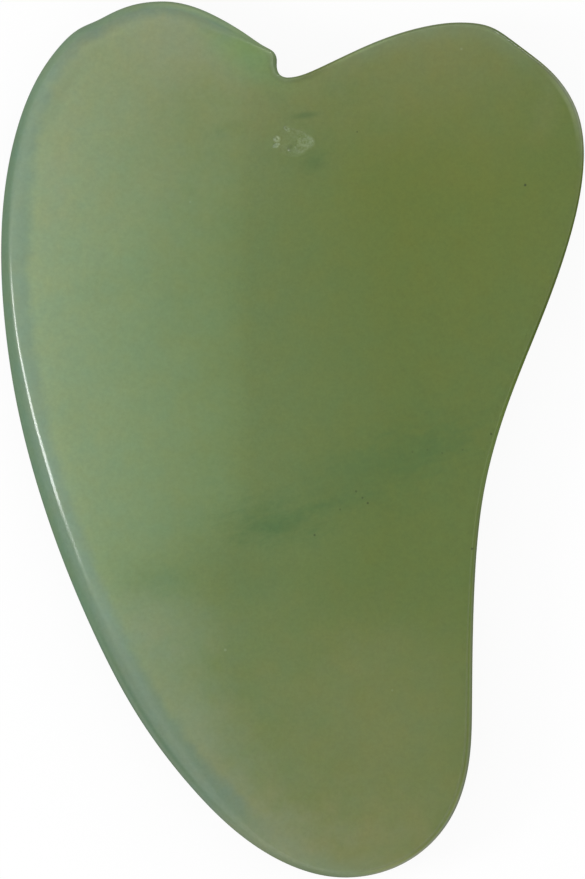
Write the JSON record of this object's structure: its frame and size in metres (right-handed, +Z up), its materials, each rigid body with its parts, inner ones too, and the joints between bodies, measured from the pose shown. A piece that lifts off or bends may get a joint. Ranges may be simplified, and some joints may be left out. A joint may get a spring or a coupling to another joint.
{
  "type": "gua sha scraper",
  "caption": "Heart-shaped flat massage scraper of polished green stone, with two lobes, a notch, a curved blade side, a hollow back side and a round tip.",
  "frame": {"origin": "middle of the plate's box, on the face that it rests on", "axes": "+Z up out of the upper face, +Y from the tip to the lobes, +X from the blade side to the hollow back side"},
  "size_m": [0.0552, 0.083, 0.006],
  "materials": {
    "green_stone": "polished, slightly translucent"
  },
  "bodies": {
    "root": {"scraper_plate": "green_stone"}
  },
  "joints": []
}
